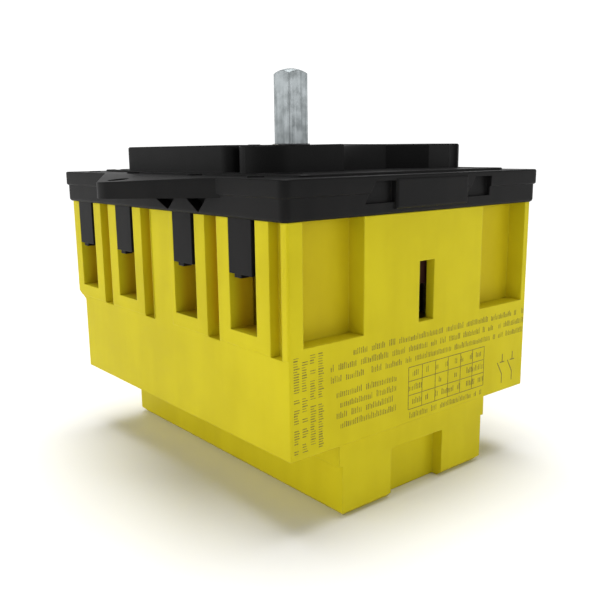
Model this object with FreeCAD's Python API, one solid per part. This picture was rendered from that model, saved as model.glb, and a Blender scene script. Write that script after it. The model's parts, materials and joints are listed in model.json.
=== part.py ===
"""Four-pole rotary isolator: yellow body, black cover, square drive shaft.

Frame: +Z up along the shaft, X across the poles, terminals on the -Y (line) and +Y (load) faces.
Origin: on the bottom of the base, under the shaft. Millimetres.
"""
import FreeCAD, Part
import math
import os
from FreeCAD import Vector

# ---- driving dimensions ---------------------------------------------------------------------
FIRST_POLE_X = -39.55      # centre of the first wire entry
POLE_PITCH = 21.2          # between the two poles of one half
MIDDLE_PITCH = 27.1        # between the second and the third pole
POLES = [FIRST_POLE_X, FIRST_POLE_X + POLE_PITCH,
         FIRST_POLE_X + POLE_PITCH + MIDDLE_PITCH, FIRST_POLE_X + 2 * POLE_PITCH + MIDDLE_PITCH]
SIDES = {"line": -1, "load": 1}

BASE_TOP = 16.5            # where the base meets the housing
STEP_Z = 36.0              # where the housing bulges on its -X side
BODY_TOP = 61.2            # where the cover sits on the housing
LIP_Z = 65.4               # underside of the cover's lip
FLANGE_TOP = 68.8
BOSS_TOP = 74.9
SHAFT_TOP = 93.1

BODY_X0, BODY_X1, BODY_Y = -43.95, 43.9, 36.8
BULGE_X = -47.8
BASE_X, BASE_Y, BASE_RIM_Y = 42.7, 22.4, 23.3
BASE_SCREWS = [(sx * 33.5, sy * 17.0) for sx in (-1, 1) for sy in (-1, 1)]
PANEL_OUT = 0.15           # how far the window panels stand out of the long faces
PANEL_X = (-6.0, 12.9)     # from a window's centre to the ends of its panel
FLANGE_X0, FLANGE_X1, FLANGE_Y = -48.2, 44.5, 37.9
LIP_OUT = 0.45             # how far the lip stands out all round
PLATEAU_X, PLATEAU_Y, PLATEAU_UP = 41.0, 30.6, 0.5   # raised field round the boss
SNAP_Z = (63.6, 67.8)      # blind windows in the cover's ends, in front of the snap hooks
SNAP_Y = ((-18.3, -10.3), (11.9, 20.0))
SNAP_DEPTH = 0.9
HOOK_Y = ((-16.2, -11.8), (13.9, 18.4))

WINDOW_W, WINDOW_SILL = 8.8, 39.0
FINGER_W, FINGER_T, FINGER_END = 7.5, 2.2, 50.4   # the cover's shroud down each window
GROOVE_W, GROOVE_DEPTH, GROOVE_OFFSET = 4.4, 3.8, 10.5
END_GROOVE_W, END_GROOVE_DEPTH = 3.5, {-1: 2.2, 1: 1.2}   # shallower by the longer end pocket
POCKETS_Y = ((-33.3, -17.9), (18.8, 34.8))        # end pockets of the +X face
POCKET_FLOOR, POCKET_DEPTH = 37.9, 4.3
END_SLOT_Y, END_SLOT_Z, END_SLOT_DEPTH = (-1.8, 2.8), (38.1, 51.0), 2.5
CHAMBER_X, CHAMBER_Y = (-5.2, 11.8), 16.8         # contact chamber of one pole
CHAMBER_FLOOR = 37.6
TERMINAL_X, TERMINAL_Y = (-5.0, 7.0), (18.6, 31.0)   # terminal chamber of one pole
BASE_WALL_X, BASE_WALL_Y, BASE_FLOOR = 5.0, 2.2, 2.4

CONTACT_SHIFT = -1.5       # from a pole's centre to its closed contact
TERMINAL_SHIFT = 1.6       # from a pole's centre to its terminal screw
PITCH_R = 6.0              # pinion pitch radius
TRAVEL = PITCH_R * math.pi / 2
MODULE = 1.0

TONGUE_Z = (47.0, 48.6)    # fixed copper strip
CAGE_FLOOR = 37.7
SHAFT_W = 6.0
SCREW_Y, SCREW_R, SCREW_HEAD_R = 26.5, 2.4, 4.0
ACCESS_R = 3.0             # screwdriver hole over each terminal screw
CAGE_Y = (22.0, 30.8)
BRIDGE_Z = (49.9, 51.9)    # moving contact
BRIDGE_W = 3.9
TIP_T, TIP_Y = 0.6, (9.6, 14.0)   # silver tips
DETENT_HALF = 8.0
SPRING_T = 0.4             # detent strip
JOURNAL_R, JOURNAL_Z = 2.5, 55.0  # rotor's lower journal in the housing
GEAR_Z = (64.5, 67.5)
ROOT_R, ADDENDUM, BACKLASH = 5.1, 0.85, 0.25
PRESSURE_ANGLE = math.radians(20)
RACK_TEETH, RACK_UP, RACK_DOWN = 6, 0.65, 1.0
SLIDER_Y, SLIDER_Z = 9.4, (61.5, 64.0)
FRAME_HALF, FRAME_Z = 3.15, (45.5, 58.5)          # carriage frame of one pole
NOTCHES_X, NOTCH_APEX_Z = ((-2.7, 4.8, 8.4), (11.6, 16.8, 20.1)), 61.7   # under each ear: start, apex, end
HOOK_OUT, HOOK_NOSE = 3.0, 1.9    # from the end face in to a snap hook's back, and its depth
HOOK_Z = (64.4, 66.6)      # under and over a snap hook's nose
SEAL_Z = 71.2
HUB_R = 6.4
EAR_HOLE_Y, EAR_HOLE_R, EAR_TIP_R = 46.6, 2.2, 4.5
EAR_SLANT = math.radians(29)      # from the flange's side to the ear's
EAR_ROOT_Z, EAR_TIP_Z = 64.9, (64.3, 67.6)
FIT = 0.06                 # running clearance on a radius


# ---- helpers ----------------------------------------------------------------------------------
def box(x0, x1, y0, y1, z0, z1):
    return Part.makeBox(x1 - x0, y1 - y0, z1 - z0, Vector(x0, y0, z0))


def cylinder(x, y, z0, z1, r):
    return Part.makeCylinder(r, z1 - z0, Vector(x, y, z0))


def prism(points, z0, z1):
    """Upright prism over a closed outline of (x, y) points."""
    corners = [Vector(x, y, z0) for x, y in points]
    return Part.Face(Part.makePolygon(corners + corners[:1])).extrude(Vector(0, 0, z1 - z0))


def prism_y(points, y0, y1):
    """Prism along Y over a closed outline of (x, z) points."""
    corners = [Vector(x, y0, z) for x, z in points]
    return Part.Face(Part.makePolygon(corners + corners[:1])).extrude(Vector(0, y1 - y0, 0))


def side_box(side, x0, x1, y0, y1, z0, z1):
    """Box given by distances y0 < y1 from the middle, on the -Y or +Y side."""
    low, high = sorted((side * y0, side * y1))
    return box(x0, x1, low, high, z0, z1)


def half_turned(shape):
    """Copy turned by 180 degrees about the shaft axis."""
    copy = shape.copy()
    copy.rotate(Vector(0, 0, 0), Vector(0, 0, 1), 180)
    return copy


def other_end(shape):
    """Copy turned by 180 degrees about the cover's own middle, for the -X end."""
    copy = half_turned(shape)
    copy.translate(Vector(FLANGE_X0 + FLANGE_X1, 0, 0))
    return copy


def fuse(shapes):
    return shapes[0].multiFuse(shapes[1:]).removeSplitter()


def upright_edges(shape, lowest=0.5):
    """Edges that run along Z and are at least so long."""
    found = []
    for edge in shape.Edges:
        a, b = edge.Vertexes[0].Point, edge.Vertexes[-1].Point
        if abs(a.x - b.x) + abs(a.y - b.y) < 1e-6 and abs(a.z - b.z) > lowest:
            found.append(edge)
    return found


def level_edges(shape, z):
    """Edges that lie at one height."""
    return [e for e in shape.Edges if all(abs(v.Point.z - z) < 1e-6 for v in e.Vertexes)]


# ---- yellow body -------------------------------------------------------------------------------
def housing():
    profile = [(BODY_X0, BASE_TOP), (BODY_X1, BASE_TOP), (BODY_X1, BODY_TOP), (BULGE_X, BODY_TOP),
               (BULGE_X, STEP_Z + 1.2), (BODY_X0, STEP_Z - 1.0)]
    body = prism_y(profile, -BODY_Y, BODY_Y)
    body = body.makeFillet(0.5, upright_edges(body))
    cuts = [box(BODY_X1 - END_SLOT_DEPTH, BODY_X1 + 1, *END_SLOT_Y, *END_SLOT_Z)]
    for x in POLES:
        end_x = x + CHAMBER_X[1]
        cuts.append(box(x + CHAMBER_X[0], end_x, -CHAMBER_Y, CHAMBER_Y, CHAMBER_FLOOR, BODY_TOP + 1))
        cuts.append(box(x - 2.0, end_x, -14, 14, BASE_TOP + 2.5, 38))
        for side in SIDES.values():
            cuts += terminal_cuts(x, side)
    for side in SIDES.values():
        face_y = BODY_Y - PANEL_OUT
        cuts.append(side_box(side, BULGE_X - 1, BODY_X1 + 1, face_y, BODY_Y + 1, BASE_TOP - 1, STEP_Z))
        cuts.append(side_box(side, POLES[1] + PANEL_X[1], POLES[2] + PANEL_X[0], face_y, BODY_Y + 1,
                             STEP_Z - 1, BODY_TOP + 1))
    for y0, y1 in POCKETS_Y:
        cuts.append(box(BODY_X1 - POCKET_DEPTH, BODY_X1 + 1, y0, y1, POCKET_FLOOR, BODY_TOP + 1))
    cuts.append(cylinder(0, 0, JOURNAL_Z - 1, BODY_TOP + 1, JOURNAL_R + FIT))
    cuts += [cylinder(x, y, BASE_TOP - 1, BASE_TOP + 9, 1.5) for x, y in BASE_SCREWS]
    body = body.cut(cuts)
    hooks = [snap_hook(BODY_X1 - HOOK_OUT, *span) for span in HOOK_Y]
    return fuse([body] + hooks + [other_end(hook) for hook in hooks])


def terminal_cuts(x, side):
    """Everything cut for one terminal: entry, chamber, slot for the strip, groove beside it."""
    half = WINDOW_W / 2
    last = x == POLES[-1]
    width = END_GROOVE_W if last else GROOVE_W
    depth = END_GROOVE_DEPTH[side] if last else GROOVE_DEPTH
    middle = x + GROOVE_OFFSET - (0.2 if last else 0)
    return [
        side_box(side, x - half, x + half, 30.8, BODY_Y + 1, WINDOW_SILL, BODY_TOP + 1),
        side_box(side, x + TERMINAL_X[0], x + TERMINAL_X[1], *TERMINAL_Y, CHAMBER_FLOOR, BODY_TOP + 1),
        side_box(side, x - 2.5, x + 5.6, 20.5, 29.5, BASE_TOP + 3, 38),
        side_box(side, x + CONTACT_SHIFT - 3.1, x + CONTACT_SHIFT + 3.1, 16.5, 18.9,
                 TONGUE_Z[0], BODY_TOP + 1),
        side_box(side, middle - width / 2, middle + width / 2, BODY_Y - depth, BODY_Y + 1,
                 STEP_Z - 0.2, BODY_TOP + 1)]


def snap_hook(x, y0, y1):
    """Tab that stands on the housing's top and latches in a pocket of the cover."""
    outline = [(x, 60.7), (x + 1.3, 60.7), (x + 1.3, HOOK_Z[0]), (x + HOOK_NOSE, HOOK_Z[0]),
               (x + 0.9, HOOK_Z[1]), (x, HOOK_Z[1])]
    return prism_y(outline, y0, y1)


def base():
    body = box(-BASE_X, BASE_X, -BASE_Y, BASE_Y, 0, BASE_TOP)
    body = body.makeChamfer(1.2, level_edges(body, 0))
    rim = box(-BASE_X, BASE_X, -BASE_RIM_Y, BASE_RIM_Y, BASE_TOP - 5.2, BASE_TOP)
    body = fuse([body, rim])
    end, wall = BASE_X - BASE_WALL_X, BASE_Y - BASE_WALL_Y
    body = body.cut(box(-end, end, -wall, wall, BASE_FLOOR, BASE_TOP + 1))
    ribs = [box(x - 0.9, x + 0.9, -BASE_Y + 2, BASE_Y - 2, 2, BASE_TOP - 0.5) for x in (-25, 0, 25)]
    posts = [cylinder(x, y, 0.5, BASE_TOP, 3.4) for x, y in BASE_SCREWS]
    body = fuse([body] + ribs + posts)
    cuts = [box(BASE_X - 2.7, BASE_X + 1, -8.3, 8.3, -1, 11.3),
            box(-BASE_X - 1, -BASE_X + 2.7, -8.3, 8.3, -1, 11.3)]
    for x, y in BASE_SCREWS:
        cuts.append(cylinder(x, y, -1, BASE_TOP + 1, 1.6))
        cuts.append(cylinder(x, y, -1, 2.6, 3.0))
    return body.cut(cuts)


# ---- black cover ---------------------------------------------------------------------------------
def flange():
    lower = box(FLANGE_X0, FLANGE_X1, -FLANGE_Y, FLANGE_Y, BODY_TOP, LIP_Z)
    lower = lower.makeFillet(1.6, upright_edges(lower))
    lower = lower.makeFillet(0.8, level_edges(lower, BODY_TOP))
    lip = box(FLANGE_X0 - LIP_OUT, FLANGE_X1 + LIP_OUT, -FLANGE_Y - LIP_OUT, FLANGE_Y + LIP_OUT,
              LIP_Z, FLANGE_TOP)
    lip = lip.makeFillet(1.8, upright_edges(lip))
    lip = lip.makeFillet(0.4, level_edges(lip, FLANGE_TOP))
    lip = lip.makeChamfer(0.3, level_edges(lip, LIP_Z))
    plateau = box(-PLATEAU_X, PLATEAU_X, -PLATEAU_Y, PLATEAU_Y, FLANGE_TOP - 0.5, FLANGE_TOP + PLATEAU_UP)
    plateau = plateau.makeFillet(2.0, upright_edges(plateau))
    plateau = plateau.makeChamfer(0.2, level_edges(plateau, FLANGE_TOP + PLATEAU_UP))
    return fuse([lower, lip, plateau])


def ear(side):
    """Fixing lug: long straight sides, a round tip round the hole, drooping a little towards the tip."""
    root_y = FLANGE_Y - 1.5
    near_x = EAR_TIP_R * math.sin(EAR_SLANT)
    near_y = EAR_HOLE_Y + EAR_TIP_R * math.cos(EAR_SLANT)
    spread = near_x + (near_y - root_y) / math.tan(EAR_SLANT)
    low, high = 60, 72

    def corner(x, y):
        return Vector(x, side * y, low)

    edges = [Part.LineSegment(corner(-spread, root_y), corner(-near_x, near_y)),
             Part.Arc(corner(-near_x, near_y), corner(0, EAR_HOLE_Y + EAR_TIP_R), corner(near_x, near_y)),
             Part.LineSegment(corner(near_x, near_y), corner(spread, root_y)),
             Part.LineSegment(corner(spread, root_y), corner(-spread, root_y))]
    plan = Part.Face(Part.Wire([edge.toShape() for edge in edges])).extrude(Vector(0, 0, high - low))
    end_y = EAR_HOLE_Y + EAR_TIP_R + 1
    section = [(root_y, EAR_ROOT_Z), (root_y, FLANGE_TOP), (FLANGE_Y + LIP_OUT, FLANGE_TOP),
               (end_y, EAR_TIP_Z[1]), (end_y, EAR_TIP_Z[0])]
    corners = [Vector(-spread, side * y, z) for y, z in section]
    lug = Part.Face(Part.makePolygon(corners + corners[:1])).extrude(Vector(2 * spread, 0, 0)).common(plan)
    top = max((f for f in lug.Faces if abs(f.CenterOfMass.y) > FLANGE_Y + 1), key=lambda f: f.CenterOfMass.z)
    outer = [e for e in top.Edges if abs(e.CenterOfMass.y) > FLANGE_Y + 1]
    return lug.makeFillet(0.4, [e for e in lug.Edges if any(e.isSame(o) for o in outer)])


def boss_outline(z):
    """Closed wire: long lobes and short ones with a narrow gap between, the same after half a turn."""
    half = [("line", (-29.0, -17.5), (-29.0, -27.4)),
            ("arc", (-29.0, -27.4), (-28.12, -29.52), (-26.0, -30.4)),
            ("line", (-26.0, -30.4), (14.4, -30.4)),
            ("arc", (14.4, -30.4), (16.17, -29.67), (16.9, -27.9)),
            ("line", (16.9, -27.9), (16.9, -21.2)),
            ("arc", (16.9, -21.2), (17.55, -20.55), (18.2, -21.2)),
            ("line", (18.2, -21.2), (18.2, -26.4)),
            ("arc", (18.2, -26.4), (19.37, -29.23), (22.2, -30.4)),
            ("line", (22.2, -30.4), (23.0, -30.4)),
            ("arc", (23.0, -30.4), (26.9, -27.9), (28.4, -23.2)),
            ("line", (28.4, -23.2), (28.4, -8.8)),
            ("arc", (28.4, -8.8), (24.6, -0.6), (23.4, 9)),
            ("line", (23.4, 9), (29.0, 17.5))]
    edges = []
    for sign in (1, -1):
        for kind, *points in half:
            places = [Vector(sign * x, sign * y, z) for x, y in points]
            curve = Part.Arc(*places) if kind == "arc" else Part.LineSegment(*places)
            edges.append(curve.toShape())
    return Part.Wire(edges)


def boss():
    solid = Part.Face(boss_outline(FLANGE_TOP - 1)).extrude(Vector(0, 0, BOSS_TOP - FLANGE_TOP + 1))
    solid = solid.makeFillet(0.5, level_edges(solid, BOSS_TOP))
    lowered = [box(17.5, 31, -31, -9.5, BOSS_TOP - 0.3, BOSS_TOP + 1)]
    lowered.append(half_turned(lowered[0]))
    return solid.cut(lowered)


def fingers():
    """Shrouds that hang down the wire entries, each with a small tooth at its end."""
    pieces = []
    for x in POLES:
        x0 = x - WINDOW_W / 2 + 0.08
        for side in SIDES.values():
            inner_y = BODY_Y - FINGER_T
            pieces.append(side_box(side, x0, x0 + FINGER_W, inner_y, BODY_Y, FINGER_END, BODY_TOP + 1))
            pieces.append(side_box(side, x0 + 1.4, x0 + 3.6, inner_y, BODY_Y - 0.3,
                                   FINGER_END - 0.8, FINGER_END + 0.1))
    return pieces


def snap_windows():
    """Cuts for one end: the blind window in the flange's face, and behind it the hook's slot and pocket."""
    cuts = []
    low, high = SNAP_Z
    for y0, y1 in SNAP_Y:
        corners = [Vector(FLANGE_X1 - SNAP_DEPTH, y, z)
                   for y, z in ((y0, low), (y1, low), (y1, high), (y0 + 2.4, high))]
        face = Part.Face(Part.makePolygon(corners + corners[:1]))
        cuts.append(face.extrude(Vector(4, 0, 0)))
    for y0, y1 in HOOK_Y:
        back, front = BODY_X1 - HOOK_OUT, BODY_X1 - HOOK_OUT + HOOK_NOSE
        cuts.append(box(back - 0.3, back + 1.5, y0 - 0.5, y1 + 0.3, BODY_TOP - 1, HOOK_Z[1] + 0.3))
        cuts.append(box(back, front + 0.2, y0 - 0.5, y1 + 0.3, HOOK_Z[0] - 0.2, HOOK_Z[1] + 0.3))
    return cuts


def cover():
    pad = box(FLANGE_X1 - 1, FLANGE_X1 + LIP_OUT + 0.25, -10.3, 11.9, 62.2, 68.3)
    pad = pad.makeFillet(0.6, [e for e in pad.Edges if e.BoundBox.XMin > FLANGE_X1])
    body = fuse([flange(), boss(), pad, other_end(pad), ear(-1), ear(1)] + fingers())
    cuts = [box(-44.3, 42.0, -10, 10, BODY_TOP - 1, 64.4),
            box(-16.2, 13.6, -10, -4, 64, 67.8),
            box(-DETENT_HALF - 0.5, DETENT_HALF + 0.5, -13.2, 13.2, BODY_TOP - 1, 64.2),
            cylinder(0, 0, 64, GEAR_Z[1] + 0.3, 7.4),
            cylinder(0, 0, 67, BOSS_TOP + 1, HUB_R + FIT)]
    for x in POLES:
        for side in SIDES.values():
            cuts.append(cylinder(x + TERMINAL_SHIFT, side * SCREW_Y, BODY_TOP - 1, BOSS_TOP + 1, ACCESS_R))
    for side in SIDES.values():
        cuts.append(cylinder(0, side * EAR_HOLE_Y, 60, 72, EAR_HOLE_R))
        for x0, apex_x, x1 in NOTCHES_X:
            outline = [(x0, EAR_ROOT_Z), (x1, EAR_ROOT_Z), (apex_x, NOTCH_APEX_Z)]
            notch = prism_y(outline, -FLANGE_Y - 0.6, -FLANGE_Y + 2.5)
            cuts.append(notch if side < 0 else half_turned(notch))
    windows = snap_windows()
    return body.cut(cuts + windows + [other_end(cut) for cut in windows])


# ---- drive ---------------------------------------------------------------------------------------
def shaft():
    half = SHAFT_W / 2
    bar = box(-half, half, -half, half, 66.5, SHAFT_TOP)
    bar = bar.makeFillet(0.35, upright_edges(bar))
    dome = Part.makeSphere(7.2, Vector(0, 0, SHAFT_TOP - 7.2))
    keep = fuse([dome, cylinder(0, 0, 60, SHAFT_TOP - 5.0, 7)])
    return bar.common(keep)


def flank(base_r, start_r, end_r, half_angle, steps=5):
    """Involute points from start to end radius; half_angle is half the tooth at the pitch circle."""
    def roll(r):
        a = math.acos(min(1.0, base_r / r))
        return math.tan(a) - a
    points = []
    for i in range(steps + 1):
        r = start_r + (end_r - start_r) * i / steps
        turn = half_angle + roll(PITCH_R) - roll(max(r, base_r))
        points.append((r, turn))
    return points


def pinion_outline():
    teeth = int(2 * PITCH_R / MODULE)
    base_r = PITCH_R * math.cos(PRESSURE_ANGLE)
    half_angle = (math.pi * MODULE / 2 - BACKLASH) / 2 / PITCH_R
    side = flank(base_r, ROOT_R, PITCH_R + ADDENDUM, half_angle)
    points = []
    for tooth in range(teeth):
        middle = 2 * math.pi * tooth / teeth - math.pi / 2
        turns = [(r, middle - t) for r, t in side] + [(r, middle + t) for r, t in reversed(side)]
        points += [(r * math.cos(t), r * math.sin(t)) for r, t in turns]
    return points


def rotor():
    """Driver: journal, pinion and hub in one, with the square socket for the shaft."""
    body = fuse([cylinder(0, 0, JOURNAL_Z, 62, JOURNAL_R), cylinder(0, 0, 61.4, GEAR_Z[0] + 0.1, 3.5),
                 prism(pinion_outline(), *GEAR_Z), cylinder(0, 0, GEAR_Z[1] - 0.2, BOSS_TOP, HUB_R),
                 cylinder(0, 0, BOSS_TOP - 1, BOSS_TOP + 0.4, 4.6)])
    half = SHAFT_W / 2 + 0.04
    groove = cylinder(0, 0, SEAL_Z - 0.7, SEAL_Z + 0.7, HUB_R + 1)
    groove = groove.cut(cylinder(0, 0, SEAL_Z - 1, SEAL_Z + 1, HUB_R - 1.2))
    return body.cut([box(-half, half, -half, half, 66.4, BOSS_TOP + 2), groove])


def rack_outline():
    """Rack teeth along y = -PITCH_R pointing at the pinion, gaps centred on the pinion's tooth."""
    pitch = math.pi * MODULE
    slant = math.tan(PRESSURE_ANGLE)
    half_tooth = (pitch / 2 - BACKLASH) / 2
    root, tip = half_tooth + RACK_DOWN * slant, half_tooth - RACK_UP * slant
    root_y, tip_y = -PITCH_R - RACK_DOWN, -PITCH_R + RACK_UP
    first = -1.5 * pitch
    start, end = first - 1.5, first + (RACK_TEETH - 0.5) * pitch + 0.4
    points = [(start, -SLIDER_Y), (start, root_y)]
    for i in range(RACK_TEETH):
        x = first + i * pitch
        points += [(x - root, root_y), (x - tip, tip_y), (x + tip, tip_y), (x + root, root_y)]
    return points + [(end, root_y), (end, -SLIDER_Y)]


def open_x(x):
    """Where a pole's moving contact stands when the switch is off."""
    return x + CONTACT_SHIFT + TRAVEL


def carriage():
    """Slider with the rack and a frame for each moving contact."""
    low, high = SLIDER_Z
    plate = box(open_x(POLES[0]) - FRAME_HALF, open_x(POLES[-1]) + FRAME_HALF, -SLIDER_Y, SLIDER_Y,
                low, high)
    rack = prism(rack_outline(), high - 0.1, GEAR_Z[1] - 0.3)
    frames = []
    for x in POLES:
        middle = open_x(x)
        frame = box(middle - FRAME_HALF, middle + FRAME_HALF, -3.6, 3.6, FRAME_Z[0], low + 0.1)
        inside = BRIDGE_W / 2 + 0.1
        frames.append(frame.cut(box(middle - inside, middle + inside, -4, 4, FRAME_Z[0] + 2, FRAME_Z[1])))
    body = fuse([plate, rack] + frames)
    slot_r = 3.9
    cuts = [box(0, TRAVEL, -slot_r, slot_r, low - 0.5, high + 0.3)]
    cuts += [cylinder(x, 0, low - 0.5, high + 0.3, slot_r) for x in (0, TRAVEL)]
    for x in (0, TRAVEL):
        for sign in (-1, 1):
            notch = [(x - 2.2, sign * 9.6), (x + 2.2, sign * 9.6), (x, sign * 8.3)]
            cuts.append(prism(notch, low - 0.5, high + 1))
    return body.cut(cuts)


def detent_spring(side):
    """Strip spring with a V that drops into the carriage's notches, in the cover's side recess."""
    inner = [(-DETENT_HALF, 12.6), (-4, 10.9), (-1.8, 10.1), (0, 8.9), (1.8, 10.1), (4, 10.9),
             (DETENT_HALF, 12.6)]
    outer = [(x, y + SPRING_T) for x, y in reversed(inner)]
    return prism([(x, side * y) for x, y in inner + outer], SLIDER_Z[0] + 0.2, SLIDER_Z[1] - 0.1)


# ---- contacts ------------------------------------------------------------------------------------
def fixed_contact(x, side):
    arm_x = x + CONTACT_SHIFT
    end_x = x + TERMINAL_SHIFT
    tongue = side_box(side, end_x - 3.0, end_x + 3.0, 18.7, 30.4, *TONGUE_Z)
    arm = side_box(side, arm_x - 3.0, arm_x + 3.0, 8.5, 21.7, *TONGUE_Z)
    return fuse([tongue, arm])


def moving_contact(x):
    middle = open_x(x)
    bar = box(middle - BRIDGE_W / 2, middle + BRIDGE_W / 2, -15.2, 15.2, *BRIDGE_Z)
    return bar.makeFillet(0.5, level_edges(bar, BRIDGE_Z[1]))


def tips(x, z0, z1):
    """Silver tips at both ends of one contact gap."""
    return [side_box(side, x - 1.9, x + 1.9, *TIP_Y, z0, z1) for side in SIDES.values()]


def contact_spring(x):
    """Compression spring between the moving contact and its frame."""
    wire_r, coil_r, turns = 0.3, 1.5, 4
    low = BRIDGE_Z[1] + wire_r + 0.05
    height = FRAME_Z[1] - wire_r - 0.05 - low
    helix = Part.makeHelix(height / turns, height, coil_r)
    section = Part.Wire([Part.Circle(Vector(coil_r, 0, 0), Vector(0, 1, 0), wire_r).toShape()])
    coil = Part.Wire(helix.Edges).makePipeShell([section], True, True)
    coil.translate(Vector(open_x(x), 0, low))
    return coil


def arc_chute(x):
    """Splitter plates under the contact's way, with a notch where the arc enters."""
    plates = []
    for side in SIDES.values():
        for i in range(4):
            x0 = x + 2.5 + 2.4 * i
            outline = [(7.2, CHAMBER_FLOOR), (CHAMBER_Y, CHAMBER_FLOOR), (CHAMBER_Y, 48.4), (13.6, 48.4),
                       (11.8, 44.5), (10.0, 48.4), (7.2, 48.4)]
            corners = [Vector(x0, side * y, z) for y, z in outline]
            plates.append(Part.Face(Part.makePolygon(corners + corners[:1])).extrude(Vector(0.8, 0, 0)))
    return plates


# ---- terminals -----------------------------------------------------------------------------------
def terminal_cage(x, side):
    """Steel box that the screw lifts, clamping the wire up against the fixed strip."""
    x += TERMINAL_SHIFT
    body = side_box(side, x - 4.9, x + 4.9, *CAGE_Y, CAGE_FLOOR, CAGE_FLOOR + 13.7)
    body = body.makeFillet(0.8, [e for e in body.Edges if e.BoundBox.YLength > 8])
    hole = side_box(side, x - 3.4, x + 3.4, 19, 32, CAGE_FLOOR + 2.0, CAGE_FLOOR + 11.3)
    return body.cut([hole, cylinder(x, side * SCREW_Y, CAGE_FLOOR + 10, CAGE_FLOOR + 15, SCREW_R + FIT)])


def terminal_screw(x, side):
    x, y = x + TERMINAL_SHIFT, side * SCREW_Y
    shank = cylinder(x, y, TONGUE_Z[1] + 0.1, 58.5, SCREW_R)
    shank = shank.makeChamfer(0.5, level_edges(shank, TONGUE_Z[1] + 0.1))
    head = cylinder(x, y, 57.6, 60.8, SCREW_HEAD_R)
    head = head.makeFillet(0.5, level_edges(head, 60.8))
    cross = [box(x - long, x + long, y - wide, y + wide, 59.0, 61)
             for long, wide in ((2.3, 0.55), (0.55, 2.3))]
    return fuse([shank, head]).cut(cross)


def base_screw(x, y):
    shank = cylinder(x, y, 0.8, BASE_TOP + 8, 1.45)
    head = cylinder(x, y, 0.4, 2.4, 2.8)
    slot = box(x - 2.0, x + 2.0, y - 0.4, y + 0.4, 0, 1.4)
    return fuse([shank, head]).cut(slot)


def build():
    """Every sub-part by name."""
    nodes = {"base": base(), "housing": housing(), "cover": cover(), "shaft": shaft(),
             "rotor": rotor(), "carriage": carriage(),
             "shaft_seal": Part.makeTorus(HUB_R - 0.58, 0.58, Vector(0, 0, SEAL_Z)),
             "detent_spring_front": detent_spring(-1), "detent_spring_rear": detent_spring(1)}
    fixed_tips, moving_tips = [], []
    for number, x in enumerate(POLES, 1):
        nodes[f"moving_contact_{number}"] = moving_contact(x)
        nodes[f"contact_spring_{number}"] = contact_spring(x)
        nodes[f"arc_chute_{number}"] = Part.makeCompound(arc_chute(x))
        fixed_tips += tips(x + CONTACT_SHIFT, TONGUE_Z[1], TONGUE_Z[1] + TIP_T)
        moving_tips += tips(open_x(x), BRIDGE_Z[0] - TIP_T, BRIDGE_Z[0])
        for name, side in SIDES.items():
            nodes[f"fixed_contact_{name}_{number}"] = fixed_contact(x, side)
            nodes[f"terminal_cage_{name}_{number}"] = terminal_cage(x, side)
            nodes[f"terminal_screw_{name}_{number}"] = terminal_screw(x, side)
    nodes["fixed_contact_tips"] = Part.makeCompound(fixed_tips)
    nodes["moving_contact_tips"] = Part.makeCompound(moving_tips)
    nodes["base_screws"] = Part.makeCompound([base_screw(x, y) for x, y in BASE_SCREWS])
    return nodes


os.makedirs("parts", exist_ok=True)
for node, shape in build().items():
    print(node, len(shape.Solids), round(shape.Volume), shape.isValid())
    shape.exportStep(f"parts/{node}.step")
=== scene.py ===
# %% [markdown]
# # A four-pole rotary isolator
# This switch cuts four conductors at once. A yellow moulding holds the contacts, a black cover closes it,
# and a square steel shaft turns the mechanism. The shapes come from a CAD model, which is loaded as a fixed
# frame. Blender then adds what a drawing leaves out: finishes, print, raised marks, light and a camera.

# %% Load the frame
import json
import math
import bpy
from mathutils import Matrix, Vector


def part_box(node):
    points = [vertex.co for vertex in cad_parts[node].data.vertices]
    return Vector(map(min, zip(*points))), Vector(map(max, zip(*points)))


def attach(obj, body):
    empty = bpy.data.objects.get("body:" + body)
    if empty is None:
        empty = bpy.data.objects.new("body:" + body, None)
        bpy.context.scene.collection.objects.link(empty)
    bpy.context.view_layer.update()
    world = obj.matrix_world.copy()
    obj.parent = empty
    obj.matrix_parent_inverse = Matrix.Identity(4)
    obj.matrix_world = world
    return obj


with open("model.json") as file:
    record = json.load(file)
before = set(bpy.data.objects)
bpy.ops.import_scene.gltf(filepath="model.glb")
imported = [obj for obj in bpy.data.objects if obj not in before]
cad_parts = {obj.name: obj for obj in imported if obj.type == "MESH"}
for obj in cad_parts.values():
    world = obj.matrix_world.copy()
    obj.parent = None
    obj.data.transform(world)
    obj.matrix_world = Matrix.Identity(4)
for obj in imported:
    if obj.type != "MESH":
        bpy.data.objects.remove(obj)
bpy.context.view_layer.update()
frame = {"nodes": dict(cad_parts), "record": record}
MM = 0.001

# %% [markdown]
# ## Camera
# A camera looks along its own -Z axis with +Y up, so its turn is a matrix whose columns are its right, its up
# and the reverse of its view direction. Building the matrix from an azimuth, a pitch and a roll keeps each
# number meaningful, where Euler angles would mix them.

# %% Camera
CAMERA_PLACE = Vector((0.14478, -0.11732, 0.07357))
AZIMUTH, PITCH, ROLL = map(math.radians, (50.452, 11.388, -0.6226))
LENS, SENSOR = 44.446, 36.0


def camera_turn():
    """Matrix of the camera: azimuth 0 looks along +Y, and pitch is downwards."""
    level = math.cos(PITCH)
    view = Vector((-math.sin(AZIMUTH) * level, math.cos(AZIMUTH) * level, -math.sin(PITCH)))
    right = Vector((math.cos(AZIMUTH), math.sin(AZIMUTH), 0))
    up = right.cross(view)
    rolled_right = right * math.cos(ROLL) + up * math.sin(ROLL)
    rolled_up = up * math.cos(ROLL) - right * math.sin(ROLL)
    return Matrix((rolled_right, rolled_up, -view)).transposed().to_4x4()


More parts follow.
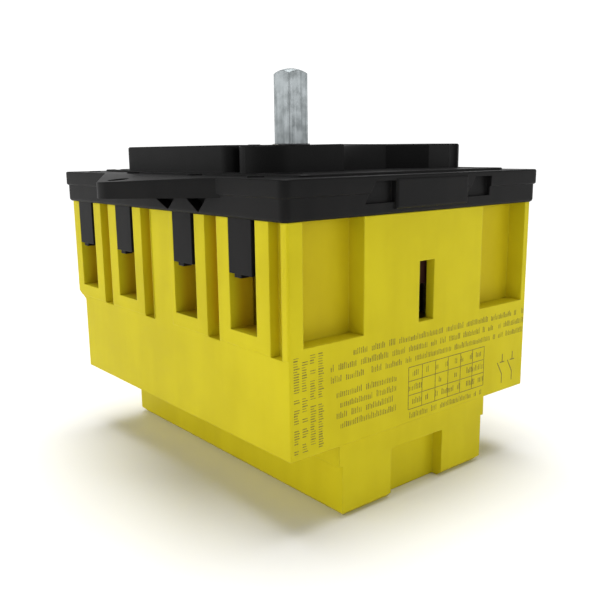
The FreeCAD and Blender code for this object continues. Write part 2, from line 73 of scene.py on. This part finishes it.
lens = bpy.data.cameras.new("camera")
lens.lens, lens.sensor_width = LENS, SENSOR
lens.clip_start = 10 * MM
camera = bpy.data.objects.new("camera", lens)
camera.matrix_world = Matrix.Translation(CAMERA_PLACE) @ camera_turn()
bpy.context.scene.collection.objects.link(camera)
bpy.context.scene.camera = camera
print("camera is", round(CAMERA_PLACE.length / MM), "mm from the origin")

# %% [markdown]
# ## Shader maths as Python
# A node tree is a formula drawn as boxes. This small class lets the formula be written as one: adding or
# multiplying two values makes the Math node. The reflected forms matter, because in `1 - mask` Python asks
# the number first and the mask second.


# %% Values that add their own Math nodes
def math_method(operation, swapped=False):
    """Makes an operator of Value that adds one Math node."""

    def method(self, other):
        pair = (other, self) if swapped else (self, other)
        return self.paint.node("ShaderNodeMath", {"operation": operation}, dict(enumerate(pair)))

    return method


class Value:
    """An output of a material's node, ready for sums."""

    def __init__(self, paint, socket):
        self.paint, self.socket = paint, socket

    __add__ = __radd__ = math_method("ADD")
    __mul__ = __rmul__ = math_method("MULTIPLY")
    __sub__, __rsub__ = math_method("SUBTRACT"), math_method("SUBTRACT", swapped=True)


EDGE_FROM, EDGE_TO = 0.01, 0.2    # how far the rounded normal leans where an edge begins and is full


class Paint:
    """One material: a Principled shader and the nodes that feed it."""

    def __init__(self, name, **constants):
        self.material = bpy.data.materials.new(name)
        self.material.use_nodes = True
        self.tree = self.material.node_tree
        self.shader = self.tree.nodes["Principled BSDF"]
        for socket, value in constants.items():
            self.feed(self.shader.inputs[socket.replace("_", " ")], value)
        self.place = self.node("ShaderNodeTexCoord", output="Object")

    def feed(self, socket, value):
        """Links a value to a socket, or sets the socket's own number."""
        if isinstance(value, Value):
            self.tree.links.new(value.socket, socket)
        elif socket.type == "RGBA":
            socket.default_value = (*value, 1.0)
        else:
            socket.default_value = value

    def node(self, kind, settings=None, sockets=None, output=0):
        """Adds a node: its settings first, then the values or links of its sockets."""
        made = self.tree.nodes.new(kind)
        for name, value in (settings or {}).items():
            setattr(made, name, value)
        for name, value in (sockets or {}).items():
            self.feed(made.inputs[name], value)
        return Value(self, made.outputs[output])

    def noise(self, grain, detail=2.0, stretch=(1, 1, 1), seed=0.0):
        """Noise of that grain in metres; stretch multiplies the grain along each axis."""
        scale = tuple(1 / s for s in stretch)
        place = self.node("ShaderNodeMapping", None,
                          {"Vector": self.place, "Location": (seed, seed, seed), "Scale": scale})
        return self.node("ShaderNodeTexNoise", None,
                         {"Vector": place, "Scale": 1 / grain, "Detail": detail})

    def fade(self, value, low, high):
        """0 below low and 1 above high, with a smooth step between."""
        return self.node("ShaderNodeMapRange", {"interpolation_type": "SMOOTHSTEP"},
                         {"Value": value, "From Min": low, "From Max": high})

    def blend(self, share, first, second):
        """Colour between two colours."""
        return self.node("ShaderNodeMix", {"data_type": "RGBA"}, {0: share, 6: first, 7: second}, output=2)

    def edges(self, radius):
        """1 along edges, 0 on the faces, with the rounded normal that shows them soft."""
        rounded = self.node("ShaderNodeBevel", {"samples": 6}, {"Radius": radius})
        face = self.node("ShaderNodeNewGeometry", output="Normal")
        likeness = self.node("ShaderNodeVectorMath", {"operation": "DOT_PRODUCT"},
                             {0: rounded, 1: face}, output="Value")
        return self.fade(1 - likeness, EDGE_FROM, EDGE_TO), rounded

    def finish(self, colour, roughness, height, depth, normal=None):
        """Connects the shader; height is relief from 0 to 1, and depth its size in metres."""
        relief = {"Height": height, "Distance": depth}
        if normal is not None:
            relief["Normal"] = normal
        self.feed(self.shader.inputs["Base Color"], colour)
        self.feed(self.shader.inputs["Roughness"], roughness)
        self.feed(self.shader.inputs["Normal"], self.node("ShaderNodeBump", None, relief))
        return self.material


print("shader helpers ready")

# %% [markdown]
# ## Moulded plastic
# Such mouldings are usually glass-filled nylon. A spark-eroded mould leaves a fine even grain, and uneven
# cooling leaves broad soft ripples and faint flow lines. Corners rub paler in handling, and the paler edges
# also serve as a painted highlight. One recipe with different colours and strengths serves every plastic
# here, and the pointer's paint as well.
#
# Two tones are placed by position, from Object coordinates: a painted shade of deeper, more orange yellow in
# the housing's recesses, and a painted shade of darker black on the upper part of the cover. Both were
# chosen.


# %% How deep a point lies in the housing's recesses, where shade is painted
SIDE_FADE = (0.5 * MM, 3.5 * MM)     # depths behind a face where the painted recess shade starts and is full
SLOT_END_FADE = (2 * MM, 9 * MM)
BLIND_END_FADE = (1 * MM, 4 * MM)
SILL_SHARE, SILL_BLUR = 0.43, 1 * MM  # the painted shade starts at this share of the housing's height


def recess_shade(paint):
    """Where shade is painted: 1 inside the entries, grooves and pockets of the housing, 0 on its outer faces.
    """
    low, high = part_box("housing")
    x, y, z = (paint.node("ShaderNodeSeparateXYZ", None, {"Vector": paint.place}, output=name)
               for name in "XYZ")
    aside = paint.node("ShaderNodeMath", {"operation": "ABSOLUTE"}, {0: y})
    from_sides = paint.fade(high.y - aside, *SIDE_FADE)
    from_ends = paint.fade(high.x - x, *SLOT_END_FADE) * paint.fade(x - low.x, *BLIND_END_FADE)
    sill = low.z + SILL_SHARE * (high.z - low.z)
    return from_sides * from_ends * paint.fade(z, sill - SILL_BLUR, sill + SILL_BLUR)


# %% Plastic recipe
CLOUD, FLOW, RIPPLE = 14 * MM, 5 * MM, 6 * MM         # sizes of the broad patterns
GRAIN, SPECKLE, RUB = 0.22 * MM, 0.5 * MM, 2.2 * MM   # sizes of the fine ones
FLOW_STRETCH = (1, 1, 7)
PAINTED_SHADE = 0.8                                          # the painted shade's share of the deep tone
MOULD_RELIEF = 0.06 * MM


def plastic(name, colour, deep, rubbed_and_highlight, gloss, edge, painted_shade_over=None, recess_shade_tone=None, **constants):
    """Moulded plastic: colour and deep are its two tones, rubbed the paler tone of its worn edges, which is
    also a painted highlight along them, gloss its mean roughness.

    painted_shade_over is a pair of heights: painted shade darkens the surface from the first to the second.
    recess_shade_tone is the painted shade in the housing's recesses, a deeper and more orange yellow.
    """
    paint = Paint(name, **constants)
    clouds = paint.noise(CLOUD, detail=3)
    flow = paint.noise(FLOW, stretch=FLOW_STRETCH, seed=0.3)
    grain = paint.noise(GRAIN, detail=1)
    ripple = paint.noise(RIPPLE, detail=1, seed=0.7)
    tone = paint.fade(clouds * 0.65 + flow * 0.35, 0.32, 0.68)
    edge_mask, rounded = paint.edges(edge)
    wear_and_highlight = edge_mask * paint.fade(paint.noise(RUB, detail=4, seed=0.9), 0.35, 0.7)
    speckle = paint.fade(paint.noise(SPECKLE, detail=2, seed=0.5), 0.62, 0.8)
    body = paint.blend(tone, deep, colour)
    # painted shade: the upper part of the cover is darkened by height
    if painted_shade_over:
        height = paint.node("ShaderNodeSeparateXYZ", None, {"Vector": paint.place}, output="Z")
        body = paint.blend(paint.fade(height, *painted_shade_over), body, tuple(PAINTED_SHADE * c for c in deep))
    # painted shade: the housing's recesses take the deeper, more orange tone
    if recess_shade_tone:
        body = paint.blend(recess_shade(paint), body, recess_shade_tone)
    body = paint.blend(speckle * 0.1, body, rubbed_and_highlight)
    # edges rubbed paler by wear, and the same paler edge is a painted highlight
    body = paint.blend(wear_and_highlight * 0.45, body, rubbed_and_highlight)
    rough = clouds * 0.14 + grain * 0.1 + (gloss - 0.12) - wear_and_highlight * 0.06
    return paint.finish(body, rough, grain * 0.12 + ripple * 0.88, MOULD_RELIEF, rounded)


finishes = {
    "yellow_plastic": plastic(
        "moulded_yellow", (0.62, 0.53, 0.012), (0.56, 0.47, 0.009), (0.70, 0.62, 0.05), gloss=0.48,
        edge=0.35 * MM, recess_shade_tone=(0.52, 0.34, 0.006), Specular_IOR_Level=0.07),
    "black_plastic": plastic(
        "moulded_black", (0.011, 0.0105, 0.0105), (0.007, 0.007, 0.007), (0.028, 0.028, 0.027), gloss=0.46,
        edge=0.3 * MM, painted_shade_over=(66 * MM, 70 * MM), Specular_IOR_Level=0.07),
    "grey_plastic": plastic(
        "moulded_grey", (0.05, 0.05, 0.054), (0.04, 0.04, 0.043), (0.11, 0.11, 0.11), gloss=0.38,
        edge=0.2 * MM),
    "brown_plastic": plastic(
        "moulded_brown", (0.05, 0.014, 0.011), (0.03, 0.009, 0.007), (0.11, 0.05, 0.04), gloss=0.4,
        edge=0.2 * MM)}
pointer_paint = plastic(
    "pointer_paint", (0.72, 0.70, 0.62), (0.66, 0.63, 0.54), (0.82, 0.81, 0.76), gloss=0.4, edge=0.2 * MM)
print("plastics:", ", ".join(finishes))

# %% [markdown]
# ## Metals
# Zinc plate is cloudy and slightly blue, with drawn lines along the bar beneath it. A brushed look needs no
# picture: noise stretched hard along one axis makes the lines. Copper dulls in brown clouds, and contact
# silver is smooth. The recipe takes the direction and strength of the lines, so each metal is one call.


# %% Metal recipe
LINE_GRAIN, PIT_GRAIN = 0.35 * MM, 0.4 * MM
METAL_RELIEF = 0.02 * MM


def metal(name, colour, tarnish, shine, line_stretch, edge, cloud=3 * MM):
    """Bare or plated metal: tarnish is its dull tone, shine its mean roughness.

    line_stretch draws the lines out along an axis, and cloud is the size of the dull patches.
    """
    paint = Paint(name, Metallic=1.0)
    lines = paint.noise(LINE_GRAIN, detail=3, stretch=line_stretch)
    clouds = paint.noise(cloud, detail=4, seed=0.4)
    pits = paint.fade(paint.noise(PIT_GRAIN, detail=2, seed=0.8), 0.66, 0.78)
    edge_mask, rounded = paint.edges(edge)
    dull = paint.fade(clouds * 0.7 + lines * 0.3, 0.38, 0.66)
    tone = paint.blend(dull * 0.8, colour, tarnish)
    tone = paint.blend(pits * 0.35, tone, tuple(0.6 * c for c in tarnish))
    # painted highlight: the edges are brightened above the face colour
    tone = paint.blend(edge_mask * 0.4, tone, tuple(min(1.0, 1.15 * c) for c in colour))
    rough = lines * 0.16 + dull * 0.12 + (shine - 0.12)
    return paint.finish(tone, rough, lines * 0.6 + clouds * 0.4, METAL_RELIEF, rounded)


ALONG_Z, ALONG_Y, EVEN = (1, 1, 40), (1, 40, 1), (1, 1, 1)
metals = {
    "zinc_plated_steel": metal(
        "zinc_plate", (0.36, 0.39, 0.40), (0.26, 0.285, 0.29), 0.5, ALONG_Z, edge=0.25 * MM),
    "plated_screw": metal(
        "screw_plate", (0.68, 0.67, 0.60), (0.50, 0.48, 0.40), 0.3, EVEN, edge=0.15 * MM),
    "mild_steel": metal(
        "pressed_steel", (0.42, 0.41, 0.40), (0.25, 0.24, 0.23), 0.45, ALONG_Y, edge=0.1 * MM),
    "spring_steel": metal(
        "spring_wire", (0.52, 0.52, 0.53), (0.34, 0.34, 0.36), 0.28, EVEN, edge=0.1 * MM),
    "copper": metal(
        "copper_strip", (0.83, 0.44, 0.28), (0.48, 0.22, 0.13), 0.34, ALONG_Y, edge=0.15 * MM),
    "silver": metal(
        "contact_silver", (0.88, 0.87, 0.83), (0.66, 0.63, 0.56), 0.24, EVEN, edge=0.1 * MM, cloud=1 * MM)}
finishes.update(metals)
print("metals:", ", ".join(metals))

# %% [markdown]
# ## Rubber and ink
# The seal stands for nitrile rubber, dark and matt with a bloom of wax. The print stands for pad-printed ink:
# thin, olive on yellow, and broken up where the grain of the moulding shows through. Both are short recipes
# of their own.


# %% Rubber and ink
def rubber():
    paint = Paint("seal_rubber", Specular_IOR_Level=0.3)
    bloom = paint.fade(paint.noise(0.8 * MM, detail=4), 0.45, 0.75)
    tone = paint.blend(bloom * 0.5, (0.012, 0.012, 0.012), (0.05, 0.05, 0.052))
    return paint.finish(tone, bloom * 0.15 + 0.6, paint.noise(0.15 * MM), 0.02 * MM)


def ink():
    paint = Paint("olive_ink", Specular_IOR_Level=0.25)
    broken = paint.fade(paint.noise(0.25 * MM, detail=3), 0.4, 0.62)
    tone = paint.blend(broken, (0.16, 0.13, 0.014), (0.33, 0.27, 0.014))
    return paint.finish(tone, broken * 0.1 + 0.5, broken, 0.01 * MM)


finishes["seal_rubber"] = rubber()
olive_ink = ink()

for part in frame["record"]["subparts"]:
    mesh = frame["nodes"][part["node"]].data
    mesh.materials.clear()
    mesh.materials.append(finishes[part["material_slot"]])
print("every CAD node has a finish:", all(o.data.materials for o in frame["nodes"].values()))

# %% [markdown]
# ## Geometry Nodes as a printing press
# The end face of such a switch carries a printed rating field. Here it is rows of thin upright bars with no
# lettering, which read as small print from a distance. Rows of bars repeat, so a node tree lays them: a line
# of points for the rows, a line of points in each row, and on each point a bar of random width and height, a
# little above or below its row. A fixed seed keeps the same print each time. Points are left empty in pairs,
# as the spaces between words are.


# %% A builder for node trees
class Tree:
    """A Geometry Nodes tree with named inputs and short calls for its nodes."""

    def __init__(self, name, inputs):
        self.tree = bpy.data.node_groups.new(name, "GeometryNodeTree")
        for label, kind in inputs.items():
            self.tree.interface.new_socket(label, in_out="INPUT", socket_type="NodeSocket" + kind)
        self.tree.interface.new_socket("Geometry", in_out="OUTPUT", socket_type="NodeSocketGeometry")
        self.inputs = self.tree.nodes.new("NodeGroupInput").outputs

    def node(self, kind, settings=None, sockets=None, output=0):
        made = self.tree.nodes.new(kind)
        for name, value in (settings or {}).items():
            setattr(made, name, value)
        for name, value in (sockets or {}).items():
            self.feed(made.inputs[name], value)
        return made.outputs[output]

    def feed(self, socket, value):
        if isinstance(value, list):
            for link in value:
                self.tree.links.new(link, socket)
        elif isinstance(value, bpy.types.NodeSocket):
            self.tree.links.new(value, socket)
        else:
            socket.default_value = value

    def times(self, first, second):
        return self.node("ShaderNodeMath", {"operation": "MULTIPLY"}, {0: first, 1: second})

    def random(self, kind, seed, sockets, output=0):
        return self.node("FunctionNodeRandomValue", {"data_type": kind}, {**sockets, "Seed": seed}, output)

    def vector(self, x=0.0, y=0.0, z=0.0):
        return self.node("ShaderNodeCombineXYZ", None, {0: x, 1: y, 2: z})

    def end(self, geometry, material):
        """Realizes the instances and sets their material, then closes the tree."""
        real = self.node("GeometryNodeRealizeInstances", None, {"Geometry": geometry})
        done = self.node("GeometryNodeSetMaterial", None, {"Geometry": real, "Material": material})
        self.tree.links.new(done, self.tree.nodes.new("NodeGroupOutput").inputs["Geometry"])
        return self.tree

    def run(self, name, values):
        """The tree's result for these input values, as a plain mesh."""
        seed_mesh = bpy.data.meshes.new(name + "_seed")
        carrier = bpy.data.objects.new(name + "_seed", seed_mesh)
        bpy.context.scene.collection.objects.link(carrier)
        modifier = carrier.modifiers.new(name, "NODES")
        modifier.node_group = self.tree
        for label, value in values.items():
            modifier[self.tree.interface.items_tree[label].identifier] = value
        depsgraph = bpy.context.evaluated_depsgraph_get()
        made = bpy.data.meshes.new_from_object(carrier.evaluated_get(depsgraph))
        carrier.modifiers.remove(modifier)
        bpy.data.objects.remove(carrier)
        made.name = name
        return made


print("tree builder ready")


# %% The rows of bars
BAR_SHIFT = 0.12                  # furthest a bar moves off its row, as a share of the tallest bar
NARROWEST, WIDEST = 0.2, 0.5      # widths of the bars, as shares of their pitch
LOWEST = 0.6                      # height of the lowest bar, as a share of the tallest
BARS_PER_GAP = 2                  # neighbours that are kept or left out together


def row_tree():
    """Rows of bars in the XY plane: bars run along X, rows step along -Y."""
    tree = Tree("print_rows", {
        "Rows": "Int", "Row Pitch": "Float", "Bars": "Int", "Bar Pitch": "Float", "Bar Height": "Float",
        "Thickness": "Float", "Empty Share": "Float", "Seed": "Int", "Ink": "Material"})
    get = tree.inputs
    rows = tree.node("GeometryNodeMeshLine", None,
                     {"Count": get["Rows"], "Offset": tree.vector(y=tree.times(get["Row Pitch"], -1.0))})
    row = tree.node("GeometryNodeMeshLine", None,
                    {"Count": get["Bars"], "Offset": tree.vector(x=get["Bar Pitch"])})
    field = tree.node("GeometryNodeInstanceOnPoints", None, {"Points": rows, "Instance": row})
    points = tree.node("GeometryNodeRealizeInstances", None, {"Geometry": field})
    down = tree.vector(y=tree.times(get["Bar Height"], -BAR_SHIFT))
    up = tree.vector(y=tree.times(get["Bar Height"], BAR_SHIFT))
    shift = tree.random("FLOAT_VECTOR", get["Seed"], {0: down, 1: up})
    points = tree.node("GeometryNodeSetPosition", None, {"Geometry": points, "Offset": shift})
    low = tree.vector(tree.times(get["Bar Pitch"], NARROWEST), tree.times(get["Bar Height"], LOWEST),
                      get["Thickness"])
    high = tree.vector(tree.times(get["Bar Pitch"], WIDEST), get["Bar Height"], get["Thickness"])
    size = tree.random("FLOAT_VECTOR", get["Seed"], {0: low, 1: high})
    pair = tree.node("ShaderNodeMath", {"operation": "FLOOR"},
                     {0: tree.times(tree.node("GeometryNodeInputIndex"), 1 / BARS_PER_GAP)})
    empty = tree.random("BOOLEAN", get["Seed"], {"Probability": get["Empty Share"], "ID": pair}, output=3)
    kept = tree.node("FunctionNodeBooleanMath", {"operation": "NOT"}, {0: empty})
    bar = tree.node("GeometryNodeMeshCube")
    bars = tree.node("GeometryNodeInstanceOnPoints", None,
                     {"Points": points, "Selection": kept, "Instance": bar, "Scale": size})
    tree.end(bars, get["Ink"])
    return tree


print_rows = row_tree()
print("inputs:", [socket.name for socket in print_rows.inputs if socket.name])

# %% [markdown]
# A ruled table is two lines of points with a long thin bar on each point: one line for the upright rules and
# one for the level rules. Joining them gives the whole grid.


# %% The ruled table
def rule_tree():
    """A grid of rules in the XY plane, from the origin to +X and +Y."""
    tree = Tree("ruled_table", {
        "Columns": "Int", "Rows": "Int", "Column Width": "Float", "Row Height": "Float", "Width": "Float",
        "Height": "Float", "Rule": "Float", "Thickness": "Float", "Ink": "Material"})
    get = tree.inputs
    bar = tree.node("GeometryNodeMeshCube")

    def rules(count, step, size, middle):
        line = tree.node("GeometryNodeMeshLine", None,
                         {"Count": count, "Start Location": middle, "Offset": step})
        return tree.node("GeometryNodeInstanceOnPoints", None,
                         {"Points": line, "Instance": bar, "Scale": size})

    upright = rules(get["Columns"], tree.vector(x=get["Column Width"]),
                    tree.vector(get["Rule"], get["Height"], get["Thickness"]),
                    tree.vector(y=tree.times(get["Height"], 0.5)))
    level = rules(get["Rows"], tree.vector(y=get["Row Height"]),
                  tree.vector(get["Width"], get["Rule"], get["Thickness"]),
                  tree.vector(x=tree.times(get["Width"], 0.5)))
    both = tree.node("GeometryNodeJoinGeometry", None, {"Geometry": [upright, level]})
    tree.end(both, get["Ink"])
    return tree


ruled_table = rule_tree()
print("inputs:", [socket.name for socket in ruled_table.inputs if socket.name])


# %% Place the print on the end face
def add_piece(name, mesh, body, place=Matrix.Identity(4)):
    """Links a mesh as a piece at the origin, with its place in its points, riding on a CAD body."""
    mesh.transform(place)
    mesh.update()
    piece = bpy.data.objects.new(name, mesh)
    bpy.context.scene.collection.objects.link(piece)
    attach(piece, body)
    return piece


face_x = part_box("housing")[1].x
INK_THICKNESS = 0.03 * MM
PRINT_HEIGHT, PRINT_PITCH = 1.4 * MM, 0.5 * MM
PRINT_GAPS, CELL_GAPS = 0.16, 0.4    # shares of the bars left out, in the rows and in the table
ACROSS_FACE = Matrix(((0, 0, 1, 0), (1, 0, 0, 0), (0, 1, 0, 0), (0, 0, 0, 1)))


def on_end_face(y, z, turn=0.0):
    """Places a flat XY drawing on the end face, with its own origin at that y and z in millimetres."""
    spot = Matrix.Translation((face_x + INK_THICKNESS / 2, y * MM, z * MM))
    return spot @ ACROSS_FACE @ Matrix.Rotation(math.radians(turn), 4, "Z")


FIELDS = {  # name: (y, z, turn, rows, bars, row pitch, seed), in millimetres and degrees
    "print_top_line": (-20.5, 35.0, 0, 1, 114, 2.3, 1),
    "print_long_lines": (-26.5, 32.7, 0, 2, 126, 2.3, 2),
    "print_left_block": (-25.0, 27.2, 0, 4, 34, 2.15, 3),
    "print_foot_line": (-4.0, 17.9, 0, 1, 50, 2.3, 4),
    "print_side_block": (-35.2, 36.4, -90, 4, 38, -2.0, 5)}
for name, (y, z, turn, rows, bars, row_pitch, seed) in FIELDS.items():
    field = print_rows.run(name, {
        "Rows": rows, "Row Pitch": row_pitch * MM, "Bars": bars, "Bar Pitch": PRINT_PITCH,
        "Bar Height": PRINT_HEIGHT, "Thickness": INK_THICKNESS, "Empty Share": PRINT_GAPS, "Seed": seed,
        "Ink": olive_ink})
    add_piece(name, field, "body", on_end_face(y, z, turn))
    print(name, len(field.polygons) // 6, "bars")

TABLE_Y, TABLE_Z, COLUMN, ROW, RULE = -4.6, 19.4, 4.3, 3.1, 0.18    # in millimetres
COLUMNS, ROWS, BARS_PER_CELL = 6, 3, 8
table = ruled_table.run("print_table", {
    "Columns": COLUMNS + 1, "Rows": ROWS + 1, "Column Width": COLUMN * MM, "Row Height": ROW * MM,
    "Width": COLUMNS * COLUMN * MM, "Height": ROWS * ROW * MM, "Rule": RULE * MM,
    "Thickness": INK_THICKNESS, "Ink": olive_ink})
add_piece("print_table", table, "body", on_end_face(TABLE_Y, TABLE_Z))
cells = print_rows.run("print_table_cells", {
    "Rows": ROWS, "Row Pitch": ROW * MM, "Bars": COLUMNS * BARS_PER_CELL,
    "Bar Pitch": COLUMN / BARS_PER_CELL * MM, "Bar Height": PRINT_HEIGHT, "Thickness": INK_THICKNESS,
    "Empty Share": CELL_GAPS, "Seed": 6, "Ink": olive_ink})
add_piece("print_table_cells", cells, "body",
          on_end_face(TABLE_Y + COLUMN / BARS_PER_CELL / 2, TABLE_Z + (ROWS - 0.5) * ROW))
print("table of", COLUMNS, "by", ROWS, "cells")

# %% [markdown]
# ## The circuit symbol
# Beside the table stands the drawing symbol for a pole of an isolator, twice: two leads, a cross bar at the
# fixed contact and an open blade. Each is four straight strokes, and a stroke is a thin box between two
# points.


# %% Circuit symbol
def stroke_mesh(name, strokes, width, thickness, material):
    """One mesh of flat boxes, each between two points of the XY plane, in metres."""
    corners, faces = [], []
    for start, end in strokes:
        a, b = Vector(start), Vector(end)
        along = (b - a).normalized()
        aside = Vector((-along.y, along.x)) * width / 2
        first = len(corners)
        for z in (-thickness / 2, thickness / 2):
            corners += [(*p, z) for p in (a - aside, b - aside, b + aside, a + aside)]
        sides = [(i, (i + 1) % 4, (i + 1) % 4 + 4, i + 4) for i in range(4)]
        faces += [tuple(first + i for i in face) for face in [(3, 2, 1, 0), (4, 5, 6, 7), *sides]]
    mesh = bpy.data.meshes.new(name)
    mesh.from_pydata(corners, [], faces)
    mesh.materials.append(material)
    return mesh


STROKES = [  # one pole: lower lead, blade, cross bar, upper lead, in millimetres
    ((0, -3.6), (0, -1.4)), ((0, -1.4), (-1.9, 1.7)), ((-0.9, 1.6), (0.9, 1.6)), ((0, 1.6), (0, 3.6))]
SYMBOL_Y, SYMBOL_Z, HALF_SPACING = 30.4, 22.0, 2.0    # in millimetres
STROKE_WIDTH = 0.3 * MM
poles = [[(Vector(a) + Vector((shift, 0)), Vector(b) + Vector((shift, 0))) for a, b in STROKES]
         for shift in (-HALF_SPACING, HALF_SPACING)]
symbol = stroke_mesh("circuit_symbol", [(a * MM, b * MM) for pole in poles for a, b in pole], STROKE_WIDTH,
                     INK_THICKNESS, olive_ink)
add_piece("circuit_symbol", symbol, "body", on_end_face(SYMBOL_Y, SYMBOL_Z))
print("symbol strokes:", len(symbol.polygons) // 6)

# %% [markdown]
# ## Raised marks on the cover
# Each terminal has its number beside the screwdriver hole: odd on the line side, even on the load side. Round
# the shaft stand 0 and I for off and on, and the driver carries a raised pointer that turns with it. The
# figures are text objects turned into meshes, since moulded figures are plain shapes with a little height.

# %% Raised figures
FLANGE_TOP = 68.8 * MM
RAISED, SUNK = 0.25 * MM, 0.1 * MM    # how far a mark stands out of its surface, and reaches into it
FIGURE_SIZE, FIGURE_OUTWARD = 4.2 * MM, 8.1 * MM


def figure(label, size, x, y, z):
    """A raised figure centred on x and y, standing on the surface at z."""
    curve = bpy.data.curves.new("figure", "FONT")
    curve.body, curve.size = label, size
    curve.align_x, curve.align_y = "CENTER", "CENTER"
    curve.extrude = (RAISED + SUNK) / 2
    curve.resolution_u = 4
    holder = bpy.data.objects.new("figure", curve)
    bpy.context.scene.collection.objects.link(holder)
    mesh = bpy.data.meshes.new_from_object(holder.evaluated_get(bpy.context.evaluated_depsgraph_get()))
    bpy.data.objects.remove(holder)
    mesh.transform(Matrix.Translation((x, y, z + (RAISED - SUNK) / 2)))
    return mesh


def joined(name, meshes, material):
    """One mesh of several, with one material."""
    corners, faces = [], []
    for mesh in meshes:
        first = len(corners)
        corners += [vertex.co.copy() for vertex in mesh.vertices]
        faces += [tuple(first + i for i in polygon.vertices) for polygon in mesh.polygons]
    mesh = bpy.data.meshes.new(name)
    mesh.from_pydata(corners, [], faces)
    mesh.materials.append(material)
    return mesh


figures = []
for side, first_number in (("line", 1), ("load", 2)):
    for pole in range(4):
        low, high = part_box(f"terminal_screw_{side}_{pole + 1}")
        x, y = (low.x + high.x) / 2, (low.y + high.y) / 2
        y += math.copysign(FIGURE_OUTWARD, y)
        figures.append(figure(str(first_number + 2 * pole), FIGURE_SIZE, x, y, FLANGE_TOP))
add_piece("terminal_figures", joined("terminal_figures", figures, finishes["black_plastic"]), "body")
print(len(figures), "terminal figures")

DIAL_R, DIAL_SIZE = 11.5 * MM, 4.6 * MM
COLLAR_UP = 0.4 * MM                  # how far the driver's collar stands above the boss
BOSS_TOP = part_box("rotor")[1].z - COLLAR_UP
dial = [figure("0", DIAL_SIZE, 0, -DIAL_R, BOSS_TOP), figure("I", DIAL_SIZE, -DIAL_R, 0, BOSS_TOP)]
add_piece("position_figures", joined("position_figures", dial, finishes["black_plastic"]), "body")


# %% Pointer on the driver
def pointer():
    """A raised arrow head on the driver, from its collar towards its rim."""
    tip, root, half, bulge = -6.1 * MM, -4.75 * MM, 0.9 * MM, 0.1 * MM
    low, high = BOSS_TOP - SUNK, BOSS_TOP + RAISED
    outline = [(0, tip), (half, root), (0, root + bulge), (-half, root)]
    corners = [(x, y, z) for z in (low, high) for x, y in outline]
    sides = [(i, (i + 1) % 4, (i + 1) % 4 + 4, i + 4) for i in range(4)]
    mesh = bpy.data.meshes.new("pointer")
    mesh.from_pydata(corners, [], [(3, 2, 1, 0), (4, 5, 6, 7), *sides])
    mesh.materials.append(pointer_paint)
    return mesh


add_piece("driver_pointer", pointer(), "drive")
print("boss top at", round(BOSS_TOP / MM, 1), "mm")

# %% [markdown]
# ## Floor and light
# A pale floor and broad soft light keep the yellow even and the black readable. The world is white round the
# horizon and dim overhead. A lamp overhead whitens the floor, a large one on the line side makes that face
# the brighter of the two, and a small one fills the end face. The black cover shows its shape only by what it
# reflects, so the bright horizon matters as much as the lamps.


# %% Floor and light
def floor_paint():
    paint = Paint("pale_floor", Specular_IOR_Level=0.2)
    cloud = paint.noise(0.4, detail=3)
    tone = paint.blend(cloud, (0.86, 0.86, 0.855), (0.9, 0.9, 0.895))
    return paint.finish(tone, cloud * 0.1 + 0.6, paint.noise(3 * MM), 0.01 * MM)


FLOOR_HALF, FLOOR_DROP = 0.5, 0.05 * MM
floor_mesh = bpy.data.meshes.new("floor")
floor_mesh.from_pydata([(x * FLOOR_HALF, y * FLOOR_HALF, -FLOOR_DROP)
                        for x, y in ((-1, -1), (1, -1), (1, 1), (-1, 1))], [], [(0, 1, 2, 3)])
floor_mesh.materials.append(floor_paint())
floor = bpy.data.objects.new("floor", floor_mesh)
bpy.context.scene.collection.objects.link(floor)

DIM, BRIGHT = 0.12, 1.1            # strength overhead, and round the horizon
FADE_FROM, FADE_TO = 0.2, 0.5      # upward part of a direction where the fade starts and ends


def studio_world():
    """White all round the horizon and below it, fading to a dim ceiling."""
    world = bpy.data.worlds.new("studio")
    world.use_nodes = True
    nodes, links = world.node_tree.nodes, world.node_tree.links
    direction = nodes.new("ShaderNodeSeparateXYZ")
    links.new(nodes.new("ShaderNodeTexCoord").outputs["Generated"], direction.inputs["Vector"])
    share = nodes.new("ShaderNodeMapRange")
    share.interpolation_type = "SMOOTHSTEP"
    for label, value in {"From Min": FADE_FROM, "From Max": FADE_TO,
                         "To Min": BRIGHT, "To Max": DIM}.items():
        share.inputs[label].default_value = value
    links.new(direction.outputs["Z"], share.inputs["Value"])
    background = nodes["Background"]
    background.inputs["Color"].default_value = (1.0, 1.0, 1.0, 1.0)
    links.new(share.outputs["Result"], background.inputs["Strength"])
    return world


bpy.context.scene.world = studio_world()
bpy.context.scene.view_settings.view_transform = "Standard"


MIDDLE = Vector((0, 0, 40 * MM))
LAMPS = {  # name: (place, size, power), in metres and watts
    "line_side_lamp": ((-0.45, -1.0, 0.4), 1.1, 4.5),
    "end_side_lamp": ((0.85, 0.7, 0.25), 0.6, 1.2),
    "top_lamp": ((-0.1, 0.1, 1.3), 0.9, 22.0)}


def lamp(name, place, size, power):
    """A square soft box that faces the middle of the object."""
    light = bpy.data.lights.new(name, "AREA")
    light.size, light.energy = size, power
    holder = bpy.data.objects.new(name, light)
    holder.location = place
    holder.rotation_euler = (MIDDLE - Vector(place)).to_track_quat("-Z", "Y").to_euler()
    bpy.context.scene.collection.objects.link(holder)


for name, (place, size, power) in LAMPS.items():
    lamp(name, place, size, power)
print(len(LAMPS), "lamps")
